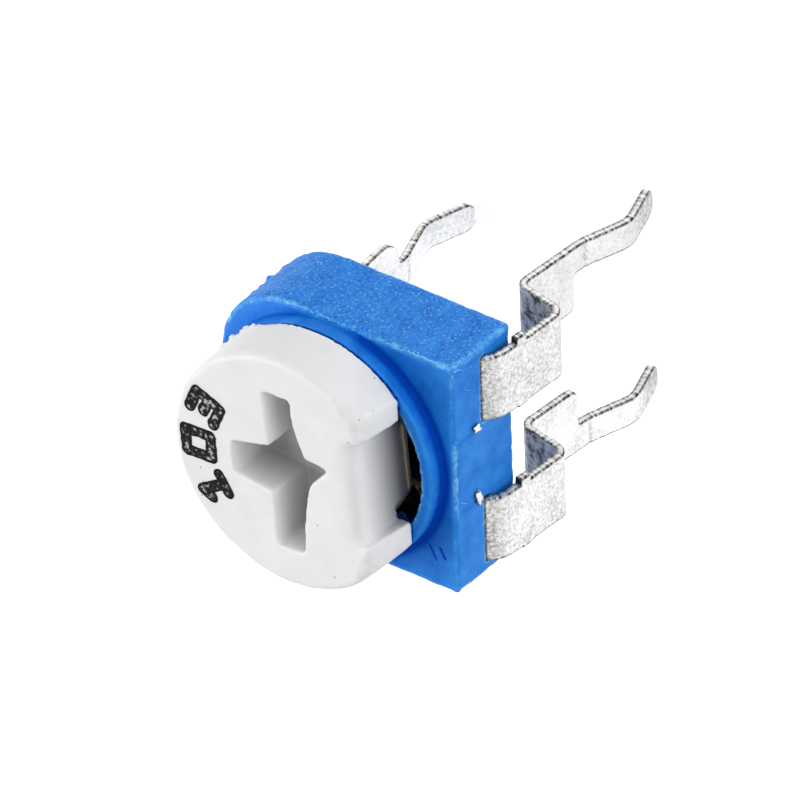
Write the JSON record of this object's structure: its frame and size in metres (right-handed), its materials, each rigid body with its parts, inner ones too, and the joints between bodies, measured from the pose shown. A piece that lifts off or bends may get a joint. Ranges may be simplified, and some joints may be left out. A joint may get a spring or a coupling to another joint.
{
  "type": "trimmer potentiometer",
  "caption": "Small through-hole trimmer potentiometer: blue housing, white rotor with a driver recess and an open side pocket, bent tinned leads.",
  "frame": {"origin": "on the rotor's axis, in the plane of the circuit board that the leads' shoulders stand on", "axes": "+Z out of the adjusting face along the rotor's axis, +Y towards the wiper's lead, +X along the row of the two end leads"},
  "size_m": [0.0064, 0.0076, 0.0107],
  "materials": {
    "housing": "blue moulded plastic, finely spark-eroded",
    "rotor": "off-white moulded plastic",
    "wiper": "spring bronze sheet, stamped",
    "element": "brown paper-phenolic board",
    "track": "printed carbon film",
    "lead": "tin-plated strip, sheared edges",
    "eyelet": "rolled brass tube"
  },
  "bodies": {
    "body": {"housing": "housing", "element": "element", "track": "track", "end_lead_1": "lead", "end_lead_3": "lead", "eyelet_1": "eyelet", "eyelet_3": "eyelet", "wiper_lead": "lead"},
    "rotor": {"rotor": "rotor", "wiper": "wiper"}
  },
  "joints": [
    {"name": "rotor_turn", "type": "hinge", "parent": "body", "child": "rotor", "pos_m": [0, 0, 0], "axis": [0, 0, 1], "range_deg": [-105, 105]}
  ]
}
